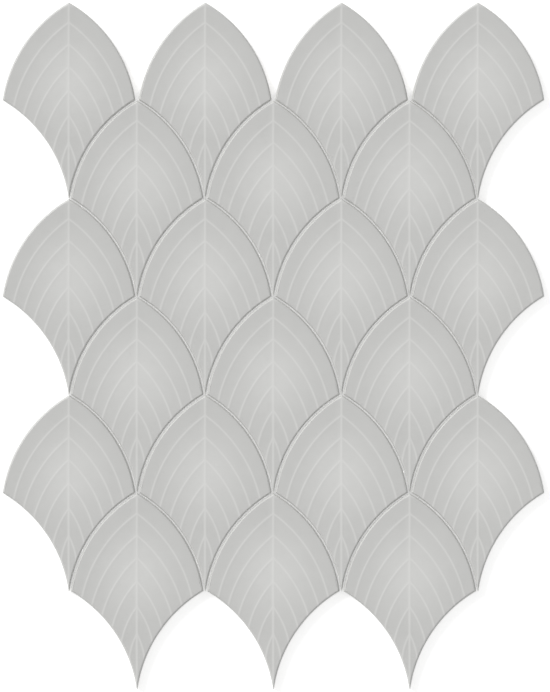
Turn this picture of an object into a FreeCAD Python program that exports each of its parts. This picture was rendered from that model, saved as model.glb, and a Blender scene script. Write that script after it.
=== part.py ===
import FreeCAD
import Part
import math
import os

# Fish scale mosaic sheet: pressed ceramic scales in staggered rows, bonded by their backs
# to an open mesh of flat glass yarns, so that the sheet is lifted and laid as one.
# Millimetres. X runs along a row, Y up the sheet to the points of the scales, Z out of the
# faces. The origin is on the bedding plane, under the middle of the sheet.

# Layout of the sheet
scale_pitch = 64.0        # from scale to scale along a row
row_pitch = 46.1          # from one row down to the next
joint = 1.1               # open joint between a scale's arch and the scales above it
row_gap = 0.8             # between arches side by side in a row, on their springing line
long_row_count = 4        # scales in rows 1, 3, 5; the staggered rows have one fewer
row_count = 6

# One scale
scale_thickness = 6.0     # back to face
tail_width = 0.3          # the tail is pressed blunt, this wide at its end
edge_width = 0.9          # cushioned edge round the face
edge_drop = 0.7           # how far the cushioned edge falls below the face
face_tail_width = 0.3     # blunt end of the flat face inside the cushioned edge
key_width = 5.0           # grooves across the back that key into the adhesive
key_depth = 0.5
key_pitch = 17.0
key_count = 3

# Backing mesh
mesh_pitch = 6.0          # from yarn to yarn, both ways
yarn_width = 0.5
yarn_thickness = 0.2
yarn_end = 1.0            # each yarn runs on this far past the last one that it crosses
mesh_margin = 2.5         # the mesh stays this far inside the notches of the sheet's edge

# A scale is an equilateral pointed arch: its radius is its span. The two arches of the row
# below bite into its foot, with the joint left between, so the rows interlock.
# In a scale's own plane the origin is the middle of the arch's springing line.
arch_radius = scale_pitch - row_gap
bite_radius = arch_radius + joint
arch_centre = (-arch_radius / 2, 0.0)
bite_centre = ((scale_pitch + arch_radius) / 2, -row_pitch)

scale_back = 2 * yarn_thickness    # the scales lie on both layers of yarn
scale_shoulder = scale_back + scale_thickness - edge_drop
scale_face = scale_back + scale_thickness


def point_at(inset):
    """Height of the scale's point, on the outline drawn in by inset."""
    return math.sqrt((arch_radius - inset) ** 2 - arch_centre[0] ** 2)


def tail_at(inset, width):
    """Height at which the scale's tail is a width across, on the outline drawn in by inset."""
    across = bite_centre[0] - width / 2
    return bite_centre[1] + math.sqrt((bite_radius + inset) ** 2 - across ** 2)


def shoulder_at(inset):
    """Right shoulder, where the arch meets the bite, on the outline drawn in by inset."""
    across = bite_centre[0] - arch_centre[0]
    down = bite_centre[1] - arch_centre[1]
    apart = math.hypot(across, down)
    arch, bite = arch_radius - inset, bite_radius + inset
    along = (apart ** 2 + arch ** 2 - bite ** 2) / (2 * apart)
    aside = math.sqrt(arch ** 2 - along ** 2)
    return (arch_centre[0] + (along * across - aside * down) / apart,
            arch_centre[1] + (along * down + aside * across) / apart)


def arc_edge(centre, start, end, height):
    """The shorter arc about a centre from start to end, level at a height."""
    radius = math.dist(centre, start)
    half_way = ((start[0] + end[0]) / 2, (start[1] + end[1]) / 2)
    reach = radius / math.dist(centre, half_way)
    middle = [c + (h - c) * reach for c, h in zip(centre, half_way)]
    ends = [FreeCAD.Vector(x, y, height) for x, y in (start, middle, end)]
    return Part.Arc(*ends).toShape()


def left(place):
    """The same place on the left side of the scale."""
    return (-place[0], place[1])


def outline(inset, blunt, height):
    """Closed outline of a scale, drawn in by inset, with its tail blunt by a width."""
    point = (0.0, point_at(inset))
    shoulder = shoulder_at(inset)
    tail = (blunt / 2, tail_at(inset, blunt))
    tail_end = [FreeCAD.Vector(x, y, height) for x, y in (tail, left(tail))]
    return Part.Wire([
        arc_edge(arch_centre, point, shoulder, height),
        arc_edge(bite_centre, shoulder, tail, height),
        Part.LineSegment(*tail_end).toShape(),
        arc_edge(left(bite_centre), left(tail), left(shoulder), height),
        arc_edge(left(arch_centre), left(shoulder), point, height),
    ])


def key_grooves():
    """Straight grooves across the back of a scale, one above the other."""
    length = 2 * scale_pitch
    grooves = []
    middle = (scale_top + scale_foot) / 2
    for number in range(key_count):
        y = middle + (number - (key_count - 1) / 2) * key_pitch - key_width / 2
        corner = FreeCAD.Vector(-length / 2, y, scale_back - key_depth)
        grooves.append(Part.makeBox(length, key_width, 2 * key_depth, corner))
    return Part.makeCompound(grooves)


def scale_tile():
    """One pressed scale: straight sides, a cushioned edge round the face, a keyed back."""
    base = Part.Face(outline(0, tail_width, scale_back))
    sides = base.extrude(FreeCAD.Vector(0, 0, scale_shoulder - scale_back))
    rim = [outline(0, tail_width, scale_shoulder),
           outline(edge_width, face_tail_width, scale_face)]
    cushion = Part.makeLoft(rim, True, True)
    return sides.fuse(cushion).cut(key_grooves()).Solids[0]


# Places of the rows. The sheet's box is centred on the origin.
scale_top = point_at(0)
scale_foot = tail_at(0, tail_width)
sheet_height = (row_count - 1) * row_pitch + scale_top - scale_foot


def row_y(row):
    """Springing line of a row's arches, counting rows down from 0."""
    return sheet_height / 2 - scale_top - row * row_pitch


def row_places(row):
    """Middle lines of the scales in a row, from left to right."""
    count = long_row_count - row % 2
    return [(number - (count - 1) / 2) * scale_pitch for number in range(count)]


# The mesh fills the rectangle that no notch of the sheet's edge reaches into.
mesh_width = 2 * (row_places(1)[-1] + shoulder_at(0)[0] - mesh_margin)
mesh_height = sheet_height - 2 * (row_pitch + mesh_margin)


def yarn_lines(span):
    """Middle lines of the yarns that fill a span, evenly placed about its middle."""
    count = math.floor((span - yarn_width - 2 * yarn_end) / mesh_pitch) + 1
    return [(number - (count - 1) / 2) * mesh_pitch for number in range(count)]


def yarn_reach(crossed):
    """Half the length of a yarn that crosses yarns on the given lines."""
    return crossed[-1] + yarn_width / 2 + yarn_end


def weft_yarns():
    """Yarns along the rows, under the others, on the bedding plane."""
    reach = yarn_reach(yarn_lines(mesh_width))
    yarns = []
    for y in yarn_lines(mesh_height):
        corner = FreeCAD.Vector(-reach, y - yarn_width / 2, 0)
        yarns.append(Part.makeBox(2 * reach, yarn_width, yarn_thickness, corner))
    return Part.makeCompound(yarns)


def warp_yarns():
    """Yarns up the sheet, lying on the weft and carrying the backs of the scales."""
    reach = yarn_reach(yarn_lines(mesh_height))
    yarns = []
    for x in yarn_lines(mesh_width):
        corner = FreeCAD.Vector(x - yarn_width / 2, -reach, yarn_thickness)
        yarns.append(Part.makeBox(yarn_width, 2 * reach, yarn_thickness, corner))
    return Part.makeCompound(yarns)


os.makedirs("parts", exist_ok=True)
pressed_scale = scale_tile()
for row in range(row_count):
    for letter, x in zip("abcdefghijklmnopqrstuvwxyz", row_places(row)):
        placed = pressed_scale.copy()
        placed.translate(FreeCAD.Vector(x, row_y(row), 0))
        placed.exportStep(f"parts/scale_tile_{row + 1}{letter}.step")
weft_yarns().exportStep("parts/mesh_weft_yarns.step")
warp_yarns().exportStep("parts/mesh_warp_yarns.step")
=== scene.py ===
import math

import bpy
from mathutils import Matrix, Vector


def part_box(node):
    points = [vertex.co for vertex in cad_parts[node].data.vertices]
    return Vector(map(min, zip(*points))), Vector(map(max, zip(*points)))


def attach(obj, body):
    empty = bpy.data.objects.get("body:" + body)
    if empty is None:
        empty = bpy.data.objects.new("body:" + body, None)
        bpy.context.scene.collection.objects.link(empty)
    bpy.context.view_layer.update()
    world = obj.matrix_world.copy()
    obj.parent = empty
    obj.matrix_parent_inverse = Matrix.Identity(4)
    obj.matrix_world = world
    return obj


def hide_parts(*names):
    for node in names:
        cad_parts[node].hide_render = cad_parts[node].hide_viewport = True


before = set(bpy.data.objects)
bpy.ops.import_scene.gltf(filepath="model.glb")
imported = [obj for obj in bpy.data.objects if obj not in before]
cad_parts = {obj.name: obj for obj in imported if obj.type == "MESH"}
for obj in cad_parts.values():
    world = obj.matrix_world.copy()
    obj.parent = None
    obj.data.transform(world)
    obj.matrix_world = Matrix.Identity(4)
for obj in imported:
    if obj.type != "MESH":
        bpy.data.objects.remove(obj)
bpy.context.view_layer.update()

mm = 0.001  # everything is in metres, sizes are written as so many mm
creaseAngle = math.radians(35)  # sharper edges stay crisp, the rest is shaded smooth


def linear(hexColour):
    # sRGB hex to the linear colour that shaders take
    parts = [int(hexColour[i:i + 2], 16) / 255 for i in (1, 3, 5)]
    return [p / 12.92 if p <= 0.04045 else ((p + 0.055) / 1.055) ** 2.4 for p in parts] + [1.0]


def addNode(tree, kind, inputs=None, **settings):
    # one node with its settings; an input takes a value, or a socket to link from
    node = tree.nodes.new(kind)
    for name, value in settings.items():
        setattr(node, name, value)
    for key, value in (inputs or {}).items():
        if isinstance(value, bpy.types.NodeSocket):
            tree.links.new(value, node.inputs[key])
        else:
            node.inputs[key].default_value = value
    return node


def newMaterial(name):
    material = bpy.data.materials.new(name)
    material.use_nodes = True
    material.node_tree.nodes.clear()
    return material, material.node_tree


def newTree(name, inputs):
    # a Geometry Nodes tree with named inputs; returns its input sockets by name
    tree = bpy.data.node_groups.new(name, "GeometryNodeTree")
    for label, kind in inputs.items():
        tree.interface.new_socket(label, in_out="INPUT", socket_type="NodeSocket" + kind)
    tree.interface.new_socket("Geometry", in_out="OUTPUT", socket_type="NodeSocketGeometry")
    return tree, tree.nodes.new("NodeGroupInput").outputs


def shapeByTree(piece, tree, values):
    # runs a tree on a piece and keeps the result as the piece's plain mesh
    modifier = piece.modifiers.new(tree.name, "NODES")
    modifier.node_group = tree
    for item in tree.interface.items_tree:
        if item.in_out == "INPUT" and item.name in values:
            modifier[item.identifier] = values[item.name]
    depsgraph = bpy.context.evaluated_depsgraph_get()
    shaped = bpy.data.meshes.new_from_object(piece.evaluated_get(depsgraph))
    piece.modifiers.clear()
    piece.data = shaped
    for polygon in shaped.polygons:
        polygon.use_smooth = True
    shaped.set_sharp_from_angle(angle=creaseAngle)


def newPiece(name, mesh):
    piece = bpy.data.objects.new(name, mesh)
    bpy.context.scene.collection.objects.link(piece)
    return piece


# Sizes that the CAD parts in model.glb give: the pitch of the scales and of the rows, the back and the
# face
firstLow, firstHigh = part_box("scale_tile_1a")
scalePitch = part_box("scale_tile_1b")[0].x - firstLow.x
rowPitch = firstHigh.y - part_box("scale_tile_2a")[1].y
scaleBack, scaleFace = firstLow.z, firstHigh.z

# The scale's outline is an equilateral pointed arch, with a bite for each scale below it
scale = {
    "joint": 1.1 * mm,
    "rowGap": 0.8 * mm,          # between arches side by side
    "edgeWidth": 0.55 * mm,      # cushioned edge, from the flat face out to the side
    "edgeDrop": 0.6 * mm,
    "edgeSlopes": (20.0, 75.0),  # degrees, where the edge leaves the face and meets the side
    "edgeSteps": 6,              # rings over the cushioned edge
    "rimStep": 0.15 * mm,        # flat band inside the edge, which keeps the face's shading level
    "flareWidth": 0.28 * mm,     # below the edge the pressed side still spreads a little
    "flareDrop": 0.4 * mm,
    "backArris": 0.3 * mm,       # small bevel round the back
    "cornerRadius": 0.35 * mm,   # point and shoulders, seen from above
    "tailRadius": 0.2 * mm,
    "faceCorner": 0.5,           # how much of those radii the flat face keeps
    "cornerSteps": 4,            # steps round a corner
    "veinCount": 6,
    "firstVein": 9.25 * mm,      # from the point down the midrib to the first pair of veins
    "veinStep": 10.25 * mm,
    "veinStretch": 0.042 * mm,   # the steps lengthen towards the tail
    "leavingAngle": 35.7,        # degrees below level, where the first pair leaves the midrib
    "leavingStep": 3.0,
    "leavingBend": 0.09,         # the lower pairs are steeper still
    "arrivingAngle": 77.9,       # where it reaches the bite
    "arrivingStep": -3.1,
    "arrivingBend": 0.86,
    "veinHalf": 0.75 * mm,       # half the width of a vein at its foot
    "midribHalf": 0.9 * mm,
    "veinHeight": 0.06 * mm,
    "edgeFade": 0.7,             # share of that height that is lost over the cushioned edge
    "veinRows": [1.0, 0.62, 0.3, 0.0],  # rows of points across half a vein, as shares of veinHalf
    "ribShare": 0.1,             # on a short row the midrib's points lie this share of the row apart
    "rowsBetween": 3,
    "rowsAbove": 6,              # between the arch's edge and the first vein
    "rowsBelow": 5,              # between the last vein and the tail
    "topHeading": 30.0,          # degrees below level, of the rows just under the point
    "columns": 18,               # along a vein, past the midrib
    "keyWidth": 5.0 * mm,        # grooves across the back
    "keyDepth": 0.5 * mm,
    "keyPitch": 17.0 * mm,
    "keyCount": 3,
    "glowDrop": 36.2 * mm,       # paler middle of the glaze, from the point down
    "glowReach": (28.0 * mm, 32.0 * mm),
}
archRadius = scalePitch - scale["rowGap"]
biteRadius = archRadius + scale["joint"]
archCentre = Vector((-archRadius / 2, 0.0))
biteCentre = Vector(((scalePitch + archRadius) / 2, -rowPitch))


def turned(centre, radius, angle):
    return centre + radius * Vector((math.cos(angle), math.sin(angle)))


def bearing(centre, place):
    return math.atan2(place.y - centre.y, place.x - centre.x)


def circlesMeet(centreA, radiusA, centreB, radiusB):
    # the upper of the two places where circles cross, A being left of B
    apart = (centreB - centreA).length
    along = (apart ** 2 + radiusA ** 2 - radiusB ** 2) / (2 * apart)
    aside = math.sqrt(max(radiusA ** 2 - along ** 2, 0.0))
    ahead = (centreB - centreA) / apart
    return centreA + along * ahead + aside * Vector((-ahead.y, ahead.x))


def pointAt(inset):
    return Vector((0.0, math.sqrt((archRadius - inset) ** 2 - archCentre.x ** 2)))


def tailAt(inset):
    return Vector((0.0, biteCentre.y + math.sqrt((biteRadius + inset) ** 2 - biteCentre.x ** 2)))


def shoulderAt(inset):
    return circlesMeet(archCentre, archRadius - inset, biteCentre, biteRadius + inset)


def mirrored(place):
    return Vector((-place.x, place.y))


def rimArcs(inset):
    # the right half of the outline, drawn in by inset, as five arcs from the point to the tail
    kept = 1 - (1 - scale["faceCorner"]) * inset / scale["edgeWidth"]
    corner, tailCorner = scale["cornerRadius"] * kept, scale["tailRadius"] * kept
    point, shoulder = pointAt(inset + corner), shoulderAt(inset + corner)
    tail = tailAt(inset + tailCorner)
    archTop, archFoot = bearing(archCentre, point), bearing(archCentre, shoulder)
    biteTop, biteFoot = bearing(biteCentre, shoulder), bearing(biteCentre, tail)
    return {
        "point": (point, corner, math.pi / 2, archTop),
        "arch": (archCentre, archRadius - inset, archTop, archFoot),
        "shoulder": (shoulder, corner, archFoot, biteTop - math.pi),
        "bite": (biteCentre, biteRadius + inset, biteTop, biteFoot),
        "tail": (tail, tailCorner, biteFoot - math.pi, -math.pi / 2),
    }


def rimPlace(arcs, station):
    # a station on the rim is the name of an arc and how far along it
    name, share = station
    centre, radius, start, end = arcs[name]
    return turned(centre, radius, start + (end - start) * share)


def veinArc(number):
    # centre and radius of a vein: it leaves the midrib at one angle and meets the bite at another
    drop = scale["firstVein"] + number * scale["veinStep"] + number ** 3 * scale["veinStretch"]
    start = pointAt(0) - Vector((0.0, drop))
    leaving = math.radians(
        scale["leavingAngle"] + number * scale["leavingStep"] + number ** 3 * scale["leavingBend"])
    arriving = math.radians(
        scale["arrivingAngle"] + number * scale["arrivingStep"] + number ** 2 * scale["arrivingBend"])
    way = Vector((math.sin(arriving) - math.sin(leaving), math.cos(arriving) - math.cos(leaving)))
    away = start - biteCentre
    half = way.dot(away) / way.length_squared
    product = (away.length_squared - biteRadius ** 2) / way.length_squared
    radius = -half - math.sqrt(half ** 2 - product)
    return start - radius * Vector((math.sin(leaving), math.cos(leaving))), radius


def faceRows(faceArcs):
    # rows of the face from under the arch's edge to above the tail: height on the midrib,
    # heading there, share of the bite where it ends, distance from a vein's middle line
    biteMiddle, biteReach, biteTop, biteFoot = faceArcs["bite"]
    veinRows = []
    shares = scale["veinRows"] + [-share for share in reversed(scale["veinRows"][:-1])]
    for number in range(scale["veinCount"]):
        centre, radius = veinArc(number)
        for share in shares:
            reach = radius + share * scale["veinHalf"]
            start = centre.y + math.sqrt(reach ** 2 - centre.x ** 2)
            heading = math.asin(-centre.x / reach)
            end = circlesMeet(centre, reach, biteMiddle, biteReach)
            turn = bearing(biteMiddle, end) % math.tau - biteTop % math.tau
            along = turn / (biteFoot - biteTop)
            veinRows.append((start, heading, along, abs(share) * scale["veinHalf"]))
    pointHeight = rimPlace(faceArcs, ("point", 0.0)).y
    tailHeight = rimPlace(faceArcs, ("tail", 1.0)).y
    top = (pointHeight, math.radians(scale["topHeading"]), 0.0, scale["veinHalf"])
    foot = (tailHeight, veinRows[-1][1], 1.0, scale["veinHalf"])
    rows = []

    def between(above, below, count):
        for step in range(1, count + 1):
            share = step / (count + 1)
            rows.append([a + (b - a) * share for a, b in zip(above, below)])

    between(top, veinRows[0], scale["rowsAbove"])
    for number, row in enumerate(veinRows):
        if number and number % len(shares) == 0:
            between(veinRows[number - 1], row, scale["rowsBetween"])
        rows.append(row)
    between(veinRows[-1], foot, scale["rowsBelow"])
    return rows


def rowPlaces(start, heading, end):
    # points along the arc that leaves the midrib at a heading and ends at a place on the rim
    begin = Vector((0.0, start))
    side = Vector((-math.sin(heading), -math.cos(heading)))
    chord = end - begin
    radius = chord.length_squared / (2 * chord.dot(side))
    centre = begin + radius * side
    first, last = bearing(centre, begin), bearing(centre, end)
    length = radius * (first - last)
    ribSteps = [min(share * scale["midribHalf"], length * scale["ribShare"] * (number + 1))
                for number, share in enumerate(reversed(scale["veinRows"][:-1]))]
    stride = (length - ribSteps[-1]) / scale["columns"]
    rest = [ribSteps[-1] + stride * step for step in range(1, scale["columns"] + 1)]
    return [turned(centre, radius, first - reach / radius) for reach in [0.0] + ribSteps + rest]


def edgeRings():
    # rings over the cushioned edge, down the side and round the back: inset, height and how much
    # of the veins' relief still shows
    rings = [(scale["edgeWidth"], scaleFace, 1.0)]
    flat, steep = (math.radians(slope) for slope in scale["edgeSlopes"])
    for step in range(1, scale["edgeSteps"] + 1):
        turn = flat + (steep - flat) * step / scale["edgeSteps"]
        out = (math.sin(turn) - math.sin(flat)) / (math.sin(steep) - math.sin(flat))
        down = (math.cos(flat) - math.cos(turn)) / (math.cos(flat) - math.cos(steep))
        inset, height = scale["edgeWidth"] * (1 - out), scaleFace - scale["edgeDrop"] * down
        rings.append((inset, height, 1 - scale["edgeFade"] * down))
    spread = -scale["flareWidth"]
    rings.append((spread, scaleFace - scale["edgeDrop"] - scale["flareDrop"], 0.0))
    rings.append((spread, scaleBack + scale["backArris"], 0.0))
    rings.append((spread + scale["backArris"], scaleBack, 0.0))
    return rings


def scaleSkin():
    # the whole scale as one closed skin, still without its veins, about its springing line
    half = scale["cornerSteps"] // 2
    faceArcs = rimArcs(scale["edgeWidth"] + scale["rimStep"])
    rows = faceRows(faceArcs)
    columns = len(scale["veinRows"]) - 1 + scale["columns"]
    archColumns = columns - 2 * half
    topStations = [("point", (step + 1) / half) for step in range(half)]
    topStations += [("arch", (step + 1) / archColumns) for step in range(archColumns)]
    topStations += [("shoulder", (step + 1) / scale["cornerSteps"]) for step in range(half)]
    sideStations = [("shoulder", 0.5 + (step + 1) / scale["cornerSteps"]) for step in range(half)]
    sideStations += [("bite", row[2]) for row in rows[half:]]
    tailStations = [("tail", (step + 1) / scale["cornerSteps"]) for step in range(scale["cornerSteps"])]

    # lines of points over the right half of the face, from the midrib out to the rim
    facePoint = Vector((0.0, rimPlace(faceArcs, ("point", 0.0)).y))
    grid = [[facePoint] + [rimPlace(faceArcs, station) for station in topStations]]
    offsets = [scale["veinHalf"]]
    for (start, heading, _, offset), station in zip(rows, sideStations):
        grid.append(rowPlaces(start, heading, rimPlace(faceArcs, station)))
        offsets.append(offset)
    lastStart = rows[-1][0]
    faceTail = rimPlace(faceArcs, ("tail", 1.0))
    for number, station in enumerate(tailStations[:-1]):
        share = (number + 1) / len(tailStations)
        start = Vector((0.0, lastStart + (faceTail.y - lastStart) * share))
        end = rimPlace(faceArcs, station)
        grid.append([start.lerp(end, step / columns) for step in range(columns + 1)])
        offsets.append(scale["veinHalf"])

    places, veinOffset, rimFade, faces = [], [], [], []

    def addPlace(place, height, offset, fade):
        places.append((place.x, place.y, height))
        veinOffset.append(offset)
        rimFade.append(fade)
        return len(places) - 1

    # face: the right half, its mirror image, and the midrib that they share
    right, left = [], []
    for line, offset in zip(grid, offsets):
        middle = addPlace(line[0], scaleFace, offset, 1.0)
        right.append([middle] + [addPlace(place, scaleFace, offset, 1.0) for place in line[1:]])
        left.append([middle] + [addPlace(mirrored(place), scaleFace, offset, 1.0) for place in line[1:]])
    pole = addPlace(Vector((0.0, faceTail.y)), scaleFace, scale["veinHalf"], 1.0)
    for number in range(len(grid) - 1):
        for step in range(columns):
            above, below = right[number], right[number + 1]
            faces.append((above[step], below[step], below[step + 1], above[step + 1]))
            above, below = left[number], left[number + 1]
            faces.append((above[step], above[step + 1], below[step + 1], below[step]))
    for step in range(columns):
        faces.append((right[-1][step], pole, right[-1][step + 1]))
        faces.append((left[-1][step], left[-1][step + 1], pole))

    # each ring is joined to the one before, and the last is closed across the back
    stations = [("point", 0.0)] + topStations + sideStations + tailStations
    edgeOffsets = [offsets[0]] * (columns + 1) + offsets[1:] + [scale["veinHalf"]]
    count = len(stations)
    loop = right[0] + [line[-1] for line in right[1:]] + [pole]
    loop += [line[-1] for line in reversed(left[1:])] + list(reversed(left[0][1:]))
    for inset, height, fade in edgeRings():
        arcs = rimArcs(inset)
        line = [rimPlace(arcs, station) for station in stations]
        ring = [addPlace(place, height, offset, fade) for place, offset in zip(line, edgeOffsets)]
        ring += [addPlace(mirrored(line[number]), height, edgeOffsets[number], fade)
                 for number in range(count - 2, 0, -1)]
        for number in range(len(loop)):
            other = (number + 1) % len(loop)
            faces.append((loop[number], loop[other], ring[other], ring[number]))
        loop = ring
    for number in range(count - 1):
        mirrorHere, mirrorNext = (-number) % len(loop), -number - 1
        corners = [loop[number], loop[number + 1], loop[mirrorNext], loop[mirrorHere]]
        faces.append(tuple(dict.fromkeys(corners)))

    mesh = bpy.data.meshes.new("scaleSkin")
    mesh.from_pydata(places, [], faces)
    for name, values in (("veinOffset", veinOffset), ("rimFade", rimFade)):
        mesh.attributes.new(name, "FLOAT", "POINT").data.foreach_set("value", values)
    mesh.update()
    return mesh


def leafScaleTree():
    # raises the veins on a skin, notes relief and glaze for the material, cuts the keys
    # and puts the scale in its place
    tree, given = newTree("leafScale", {
        "Geometry": "Geometry", "Vein half": "Float", "Midrib half": "Float", "Vein height": "Float",
        "Glow centre": "Vector", "Glow reach": "Vector", "Tone": "Float",
        "Key size": "Vector", "Key start": "Vector", "Key step": "Vector", "Key count": "Int",
        "Place": "Vector", "Glaze": "Material"})
    position = addNode(tree, "GeometryNodeInputPosition").outputs[0]
    sideways = addNode(tree, "ShaderNodeSeparateXYZ", {0: position}).outputs[0]
    across = addNode(tree, "ShaderNodeMath", {0: sideways}, operation="ABSOLUTE").outputs[0]
    offset, fade = (
        addNode(tree, "GeometryNodeInputNamedAttribute", {"Name": name}, data_type="FLOAT").outputs[0]
        for name in ("veinOffset", "rimFade"))
    # 0 on the middle line of a vein or the midrib, 1 from its foot on
    missed = []
    for distance, reach in ((offset, given["Vein half"]), (across, given["Midrib half"])):
        missed.append(addNode(tree, "ShaderNodeMapRange", {"Value": distance, "From Max": reach},
                              interpolation_type="SMOOTHSTEP").outputs[0])
    both = addNode(tree, "ShaderNodeMath", {0: missed[0], 1: missed[1]}, operation="MULTIPLY").outputs[0]
    ridge = addNode(tree, "ShaderNodeMath", {0: 1.0, 1: both}, operation="SUBTRACT").outputs[0]
    relief = addNode(tree, "ShaderNodeMath", {0: ridge, 1: fade}, operation="MULTIPLY").outputs[0]
    lift = addNode(tree, "ShaderNodeMath", {0: relief, 1: given["Vein height"]},
                   operation="MULTIPLY").outputs[0]
    up = addNode(tree, "ShaderNodeCombineXYZ", {2: lift}).outputs[0]
    # 1 in the middle of the pale glow, 0 where it ends
    away = addNode(tree, "ShaderNodeVectorMath", {0: position, 1: given["Glow centre"]},
                   operation="SUBTRACT").outputs[0]
    away = addNode(tree, "ShaderNodeVectorMath", {0: away, 1: given["Glow reach"]},
                   operation="DIVIDE").outputs[0]
    away = addNode(tree, "ShaderNodeVectorMath", {0: away}, operation="LENGTH").outputs["Value"]
    glow = addNode(tree, "ShaderNodeMapRange", {"Value": away, "To Min": 1.0, "To Max": 0.0},
                   interpolation_type="SMOOTHSTEP").outputs[0]
    shape = given["Geometry"]
    for name, value in (("relief", relief), ("glow", glow), ("tone", given["Tone"])):
        shape = addNode(tree, "GeometryNodeStoreNamedAttribute",
                        {"Geometry": shape, "Name": name, "Value": value},
                        data_type="FLOAT", domain="POINT").outputs[0]
    shape = addNode(tree, "GeometryNodeSetPosition", {"Geometry": shape, "Offset": up}).outputs[0]
    keyLine = addNode(tree, "GeometryNodeMeshLine", {
        "Count": given["Key count"], "Start Location": given["Key start"],
        "Offset": given["Key step"]}).outputs[0]
    keyBar = addNode(tree, "GeometryNodeMeshCube", {"Size": given["Key size"]}).outputs[0]
    keys = addNode(tree, "GeometryNodeInstanceOnPoints",
                   {"Points": keyLine, "Instance": keyBar}).outputs[0]
    keys = addNode(tree, "GeometryNodeRealizeInstances", {"Geometry": keys}).outputs[0]
    shape = addNode(tree, "GeometryNodeMeshBoolean", {"Mesh 1": shape, "Mesh 2": keys},
                    operation="DIFFERENCE").outputs[0]
    shape = addNode(tree, "GeometryNodeTransform",
                    {"Geometry": shape, "Translation": given["Place"]}).outputs[0]
    shape = addNode(tree, "GeometryNodeRealizeInstances", {"Geometry": shape}).outputs[0]
    shape = addNode(tree, "GeometryNodeSetMaterial",
                    {"Geometry": shape, "Material": given["Glaze"]}).outputs[0]
    addNode(tree, "NodeGroupOutput", {0: shape})
    return tree


glaze = {
    "margin": "#c4c4c2",         # thick glaze near the edge of a scale
    "middle": "#d1d1cf",         # thinner and paler in the middle
    "vein": "#dededc",           # thinnest over the veins, where the pale body shows through
    "veinShows": 0.49,
    "arris": "#e3e3e0",          # it thins and breaks pale over the edge
    "arrisTop": 0.55 * mm,       # below the face
    "arrisFoot": 0.85 * mm,
    "body": "#cfcdc8",           # unglazed pressed body, on the sides and back
    "roughness": 0.36,
    "bodyRoughness": 0.85,
    "ior": 1.5,
    "glazeEdge": 1.2 * mm,       # how far the glaze runs down from the face
    "waver": 0.15 * mm,          # how unevenly it stops there
    "lineSoft": 0.1 * mm,
    "mottle": (7.0 * mm, 3.0),   # clouds in the glaze: their size, and how finely they are broken up
    "ripple": (1.6 * mm, 1.0),   # orange peel of the fired surface
    "grit": (0.35 * mm, 2.0),    # grain of the pressed body, drawn coarser than it is so that it shows
    "cloudShade": (0.97, 1.03),  # darkest and palest of the clouds
    "gritShade": (0.94, 1.04),
    "bumpStrength": 0.15,
    "bumpDepth": 0.02 * mm,
    "toneSpread": 0.003,         # from scale to scale
    "toneTurn": 2.4,             # so that neighbours differ
}


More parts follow.
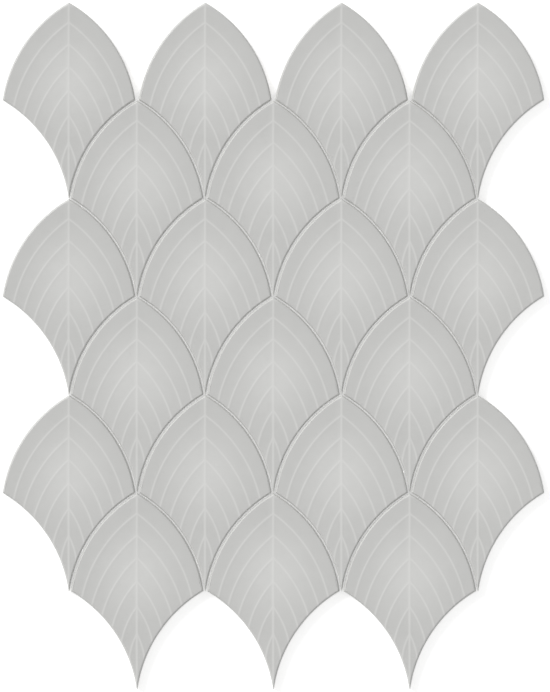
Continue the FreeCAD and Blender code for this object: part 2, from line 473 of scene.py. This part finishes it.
def satinGlaze():
    # Satin glaze on pale pressed porcelain, fired once: a soft gloss, darker where it pooled,
    # paler where it thinned over veins and edge, and a matt, finely grained body where it stops
    material, tree = newMaterial("satin glaze on pressed porcelain")
    place = addNode(tree, "ShaderNodeTexCoord").outputs["Object"]
    height = addNode(tree, "ShaderNodeSeparateXYZ", {0: place}).outputs[2]
    relief, glow, tone = (addNode(tree, "ShaderNodeAttribute", attribute_name=name).outputs["Fac"]
                          for name in ("relief", "glow", "tone"))
    clouds, ripple, grit = (
        addNode(tree, "ShaderNodeTexNoise", {
            "Vector": place, "Scale": 1 / size, "Detail": detail}).outputs["Fac"]
        for size, detail in (glaze["mottle"], glaze["ripple"], glaze["grit"]))
    # on a Mix node sockets 6 and 7 are its colours, 2 and 3 its numbers
    colour = addNode(tree, "ShaderNodeMix", {
        "Factor": glow, 6: linear(glaze["margin"]), 7: linear(glaze["middle"])},
        data_type="RGBA").outputs[2]
    thin = addNode(tree, "ShaderNodeMath", {0: relief, 1: glaze["veinShows"]},
                   operation="MULTIPLY").outputs[0]
    colour = addNode(tree, "ShaderNodeMix", {"Factor": thin, 6: colour, 7: linear(glaze["vein"])},
                     data_type="RGBA").outputs[2]
    dark, pale = glaze["cloudShade"]
    shade = addNode(tree, "ShaderNodeMapRange", {
        "Value": clouds, "To Min": dark, "To Max": pale}).outputs[0]
    shade = addNode(tree, "ShaderNodeMath", {0: shade, 1: tone}, operation="MULTIPLY").outputs[0]
    colour = addNode(tree, "ShaderNodeVectorMath", {0: colour, "Scale": shade},
                     operation="SCALE").outputs[0]
    bared = addNode(tree, "ShaderNodeMapRange", {
        "Value": height, "From Min": scaleFace - glaze["arrisFoot"],
        "From Max": scaleFace - glaze["arrisTop"], "To Min": 1.0, "To Max": 0.0}).outputs[0]
    colour = addNode(tree, "ShaderNodeMix", {"Factor": bared, 6: colour, 7: linear(glaze["arris"])},
                     data_type="RGBA").outputs[2]
    # the line where the glaze stops, part way down the side
    line = scaleFace - glaze["glazeEdge"]
    line = addNode(tree, "ShaderNodeMapRange", {
        "Value": clouds, "To Min": line - glaze["waver"], "To Max": line + glaze["waver"]}).outputs[0]
    above = addNode(tree, "ShaderNodeMath", {0: height, 1: line}, operation="SUBTRACT").outputs[0]
    glazed = addNode(tree, "ShaderNodeMapRange", {
        "Value": above, "From Min": -glaze["lineSoft"], "From Max": glaze["lineSoft"]}).outputs[0]
    dark, pale = glaze["gritShade"]
    speck = addNode(tree, "ShaderNodeMapRange", {
        "Value": grit, "To Min": dark, "To Max": pale}).outputs[0]
    body = addNode(tree, "ShaderNodeVectorMath", {0: linear(glaze["body"])[:3], "Scale": speck},
                   operation="SCALE").outputs[0]
    colour = addNode(tree, "ShaderNodeMix", {"Factor": glazed, 6: body, 7: colour},
                     data_type="RGBA").outputs[2]
    rough = addNode(tree, "ShaderNodeMapRange", {
        "Value": glazed, "To Min": glaze["bodyRoughness"], "To Max": glaze["roughness"]}).outputs[0]
    grain = addNode(tree, "ShaderNodeMix", {"Factor": glazed, 2: grit, 3: ripple},
                    data_type="FLOAT").outputs[0]
    bump = addNode(tree, "ShaderNodeBump", {
        "Height": grain, "Strength": glaze["bumpStrength"], "Distance": glaze["bumpDepth"]}).outputs[0]
    shader = addNode(tree, "ShaderNodeBsdfPrincipled", {
        "Base Color": colour, "Roughness": rough, "IOR": glaze["ior"], "Normal": bump}).outputs[0]
    addNode(tree, "ShaderNodeOutputMaterial", {"Surface": shader})
    return material


glazeMaterial = satinGlaze()
skin = scaleSkin()
leafScale = leafScaleTree()
scaleTop = pointAt(0).y
scaleFoot = scaleTop - (firstHigh.y - firstLow.y)
firstKey = (scaleTop + scaleFoot - (scale["keyCount"] - 1) * scale["keyPitch"]) / 2
scaleNodes = sorted(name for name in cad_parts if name.startswith("scale_tile"))
for number, node in enumerate(scaleNodes):
    low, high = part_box(node)
    tile = newPiece(node.replace("scale_tile", "leaf_scale"), skin.copy())
    shapeByTree(tile, leafScale, {
        "Vein half": scale["veinHalf"],
        "Midrib half": scale["midribHalf"],
        "Vein height": scale["veinHeight"],
        "Glow centre": (0.0, scaleTop - scale["glowDrop"], scaleFace),
        "Glow reach": (*scale["glowReach"], 1.0),
        "Tone": 1 + glaze["toneSpread"] * math.sin(number * glaze["toneTurn"]),
        "Key size": (2 * scalePitch, scale["keyWidth"], 2 * scale["keyDepth"]),
        "Key start": (0.0, firstKey, scaleBack),
        "Key step": (0.0, scale["keyPitch"], 0.0),
        "Key count": scale["keyCount"],
        "Place": ((low.x + high.x) / 2, high.y - scaleTop, 0.0),
        "Glaze": glazeMaterial})
    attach(tile, "root")
    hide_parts(node)
print("scales:", len(scaleNodes), "with", len(tile.data.vertices), "points each")

backing = {
    "pitch": 6.0 * mm,    # from yarn to yarn
    "width": 0.5 * mm,
    "thickness": 0.2 * mm,
    "end": 1.0 * mm,      # past the last crossing
    "steps": 4,           # points from one crossing to the next
    "corner": 0.04 * mm,  # small round along the edges of the flat yarn
    "colour": "#fefefd",
    "roughness": 0.03,
    "ior": 1.5,
    "clearness": 0.98,
    "cover": 0.45,        # the filaments lie open, so this share of the light meets them
}


def wovenYarnTree():
    # yarns side by side along X, waving over and under the yarns that they cross
    tree, given = newTree("wovenYarn", {
        "Yarn count": "Int", "Crossing count": "Int", "Pitch": "Float", "Steps": "Int",
        "Yarn end": "Float", "Yarn width": "Float", "Yarn thickness": "Float", "Corner": "Float",
        "Wave": "Float", "Turn": "Vector", "Middle": "Vector", "Yarn": "Material"})
    lastCrossing = addNode(tree, "ShaderNodeMath", {0: given["Crossing count"], 1: -1.0},
                           operation="ADD").outputs[0]
    crossed = addNode(tree, "ShaderNodeMath", {0: lastCrossing, 1: given["Pitch"]},
                      operation="MULTIPLY").outputs[0]
    reach = addNode(tree, "ShaderNodeMath", {0: crossed, 1: 0.5, 2: given["Yarn end"]},
                    operation="MULTIPLY_ADD").outputs[0]
    begin = addNode(tree, "ShaderNodeMath", {0: reach, 1: -1.0}, operation="MULTIPLY").outputs[0]
    points = addNode(tree, "ShaderNodeMath", {0: given["Crossing count"], 1: given["Steps"]},
                     operation="MULTIPLY").outputs[0]
    line = addNode(tree, "GeometryNodeCurvePrimitiveLine", {
        "Start": addNode(tree, "ShaderNodeCombineXYZ", {0: begin}).outputs[0],
        "End": addNode(tree, "ShaderNodeCombineXYZ", {0: reach}).outputs[0]}).outputs[0]
    line = addNode(tree, "GeometryNodeResampleCurve", {"Curve": line, "Count": points}).outputs[0]
    lastYarn = addNode(tree, "ShaderNodeMath", {0: given["Yarn count"], 1: -1.0},
                       operation="ADD").outputs[0]
    spread = addNode(tree, "ShaderNodeMath", {0: lastYarn, 1: given["Pitch"]},
                     operation="MULTIPLY").outputs[0]
    side = addNode(tree, "ShaderNodeMath", {0: spread, 1: -0.5}, operation="MULTIPLY").outputs[0]
    places = addNode(tree, "GeometryNodeMeshLine", {
        "Count": given["Yarn count"],
        "Start Location": addNode(tree, "ShaderNodeCombineXYZ", {1: side}).outputs[0],
        "Offset": addNode(tree, "ShaderNodeCombineXYZ", {1: given["Pitch"]}).outputs[0]}).outputs[0]
    yarns = addNode(tree, "GeometryNodeInstanceOnPoints", {"Points": places, "Instance": line}).outputs[0]
    yarns = addNode(tree, "GeometryNodeRealizeInstances", {"Geometry": yarns}).outputs[0]
    # the wave turns over from one crossing to the next and from one yarn to the next
    position = addNode(tree, "GeometryNodeInputPosition").outputs[0]
    position = addNode(tree, "ShaderNodeSeparateXYZ", {0: position}).outputs
    both = addNode(tree, "ShaderNodeMath", {0: position[0], 1: position[1]}, operation="ADD").outputs[0]
    turns = addNode(tree, "ShaderNodeMath", {0: both, 1: given["Pitch"]}, operation="DIVIDE").outputs[0]
    angle = addNode(tree, "ShaderNodeMath", {0: turns, 1: math.pi}, operation="MULTIPLY").outputs[0]
    wave = addNode(tree, "ShaderNodeMath", {0: angle}, operation="COSINE").outputs[0]
    lift = addNode(tree, "ShaderNodeMath", {0: wave, 1: given["Wave"]}, operation="MULTIPLY").outputs[0]
    up = addNode(tree, "ShaderNodeCombineXYZ", {2: lift}).outputs[0]
    yarns = addNode(tree, "GeometryNodeSetPosition", {"Geometry": yarns, "Offset": up}).outputs[0]
    section = addNode(tree, "GeometryNodeCurvePrimitiveQuadrilateral", {
        "Width": given["Yarn width"], "Height": given["Yarn thickness"]}).outputs[0]
    section = addNode(tree, "GeometryNodeFilletCurve", {
        "Curve": section, "Radius": given["Corner"], "Count": 1}, mode="POLY").outputs[0]
    shape = addNode(tree, "GeometryNodeCurveToMesh", {
        "Curve": yarns, "Profile Curve": section, "Fill Caps": True}).outputs[0]
    shape = addNode(tree, "GeometryNodeTransform", {
        "Geometry": shape, "Rotation": given["Turn"], "Translation": given["Middle"]}).outputs[0]
    shape = addNode(tree, "GeometryNodeRealizeInstances", {"Geometry": shape}).outputs[0]
    shape = addNode(tree, "GeometryNodeSetMaterial",
                    {"Geometry": shape, "Material": given["Yarn"]}).outputs[0]
    addNode(tree, "NodeGroupOutput", {0: shape})
    return tree


def coatedGlassYarn():
    # Glass-fibre yarn, woven open and set in clear resin: what lies behind it shows through
    material, tree = newMaterial("resin set glass fibre yarn")
    shader = addNode(tree, "ShaderNodeBsdfPrincipled", {
        "Base Color": linear(backing["colour"]), "Roughness": backing["roughness"],
        "IOR": backing["ior"], "Transmission Weight": backing["clearness"],
        "Alpha": backing["cover"]}).outputs[0]
    addNode(tree, "ShaderNodeOutputMaterial", {"Surface": shader})
    return material


yarnMaterial = coatedGlassYarn()
wovenYarn = wovenYarnTree()
weftLow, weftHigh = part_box("mesh_weft_yarns")
warpLow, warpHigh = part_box("mesh_warp_yarns")
yarnCount = {
    "weft": round((weftHigh.y - weftLow.y - backing["width"]) / backing["pitch"]) + 1,
    "warp": round((warpHigh.x - warpLow.x - backing["width"]) / backing["pitch"]) + 1,
}
yarnWave = (warpHigh.z - weftLow.z) / 2 - backing["thickness"] / 2
yarnKinds = (("weft", "warp", 0.0, yarnWave), ("warp", "weft", math.pi / 2, -yarnWave))
for kind, other, turn, wave in yarnKinds:
    yarns = newPiece(f"{kind}_yarns", bpy.data.meshes.new(f"{kind}Yarns"))
    shapeByTree(yarns, wovenYarn, {
        "Yarn count": yarnCount[kind],
        "Crossing count": yarnCount[other],
        "Pitch": backing["pitch"],
        "Steps": backing["steps"],
        "Yarn end": backing["end"] + backing["width"] / 2,
        "Yarn width": backing["width"],
        "Yarn thickness": backing["thickness"],
        "Corner": backing["corner"],
        "Wave": wave,
        "Turn": (0.0, 0.0, turn),
        "Middle": (0.0, 0.0, (weftLow.z + warpHigh.z) / 2),
        "Yarn": yarnMaterial})
    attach(yarns, "root")
    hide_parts(f"mesh_{kind}_yarns")
    print(kind, "yarns:", yarnCount[kind], "with", len(yarns.data.vertices), "points")

studio = {
    "floorSize": 12.0,
    "floorColour": "#e8e8e8",
    "floorLift": 0.59,         # added where the floor is seen, so that it reads white
    "worldColour": "#ffffff",
    "worldStrength": 0.5,
    "seenStrength": 1.0,       # of the world where it is seen, 1 is white
    "keySpread": 34.0,         # degrees across, as seen from the sheet: a large soft lamp far off
    "keyStrength": 2.32,
    "keyPlace": (-0.91, 0.76, 0.9),
    "lens": 800.0,             # the photograph shows every scale alike, so the camera stands far off
    "sensor": 36.0,
    "seenHeight": 324.8 * mm,  # how much of the face plane the photograph takes in, top to bottom
    "seenMiddle": (0.76 * mm, -0.6 * mm),
}


def raysThatShow(tree):
    # 1 for a ray that shows the background: from the camera, by reflection or through glass
    path = addNode(tree, "ShaderNodeLightPath").outputs
    seen = addNode(tree, "ShaderNodeMath", {0: path["Is Camera Ray"], 1: path["Is Glossy Ray"]},
                   operation="MAXIMUM").outputs[0]
    return addNode(tree, "ShaderNodeMath", {0: seen, 1: path["Is Transmission Ray"]},
                   operation="MAXIMUM").outputs[0]


def whiteFloor():
    # Matt white paper, lying flat: no gloss, and it keeps the sheet's soft shadow
    material, tree = newMaterial("matt white paper")
    lift = addNode(tree, "ShaderNodeMath", {0: raysThatShow(tree), 1: studio["floorLift"]},
                   operation="MULTIPLY").outputs[0]
    glow = addNode(tree, "ShaderNodeEmission", {"Strength": lift}).outputs[0]
    matt = addNode(tree, "ShaderNodeBsdfDiffuse", {"Color": linear(studio["floorColour"])}).outputs[0]
    both = addNode(tree, "ShaderNodeAddShader", {0: matt, 1: glow}).outputs[0]
    addNode(tree, "ShaderNodeOutputMaterial", {"Surface": both})
    return material


floorHalf = studio["floorSize"] / 2
floorMesh = bpy.data.meshes.new("floor")
floorCorners = [(across * floorHalf, along * floorHalf, 0.0)
                for across, along in ((-1, -1), (1, -1), (1, 1), (-1, 1))]
floorMesh.from_pydata(floorCorners, [], [(0, 1, 2, 3)])
floorMesh.materials.append(whiteFloor())
floor = newPiece("floor", floorMesh)

world = bpy.data.worlds.new("studio")
world.use_nodes = True
world.node_tree.nodes.clear()
sky, white = (
    addNode(world.node_tree, "ShaderNodeBackground", {
        "Color": linear(studio["worldColour"]), "Strength": strength}).outputs[0]
    for strength in (studio["worldStrength"], studio["seenStrength"]))
chosen = addNode(world.node_tree, "ShaderNodeMixShader", {
    0: raysThatShow(world.node_tree), 1: sky, 2: white}).outputs[0]
addNode(world.node_tree, "ShaderNodeOutputWorld", {"Surface": chosen})
bpy.context.scene.world = world

key = bpy.data.lights.new("key", "SUN")
key.angle = math.radians(studio["keySpread"])
key.energy = studio["keyStrength"]
keyLamp = bpy.data.objects.new("key", key)
keyLamp.location = studio["keyPlace"]
keyLamp.rotation_euler = (-Vector(studio["keyPlace"])).to_track_quat("-Z", "Y").to_euler()
bpy.context.scene.collection.objects.link(keyLamp)
print("studio: floor, world and key lamp")

camera = bpy.data.cameras.new("camera")
camera.lens = studio["lens"]
camera.sensor_width = studio["sensor"]
distance = studio["seenHeight"] * studio["lens"] / studio["sensor"]  # the sensor spans the long side
camera.clip_end = 2 * distance
cameraObject = bpy.data.objects.new("camera", camera)
cameraObject.location = (*studio["seenMiddle"], scaleFace + distance)
bpy.context.scene.collection.objects.link(cameraObject)
bpy.context.scene.camera = cameraObject
bpy.context.scene.view_settings.view_transform = "Standard"
print("camera", round(distance, 3), "m above the faces")
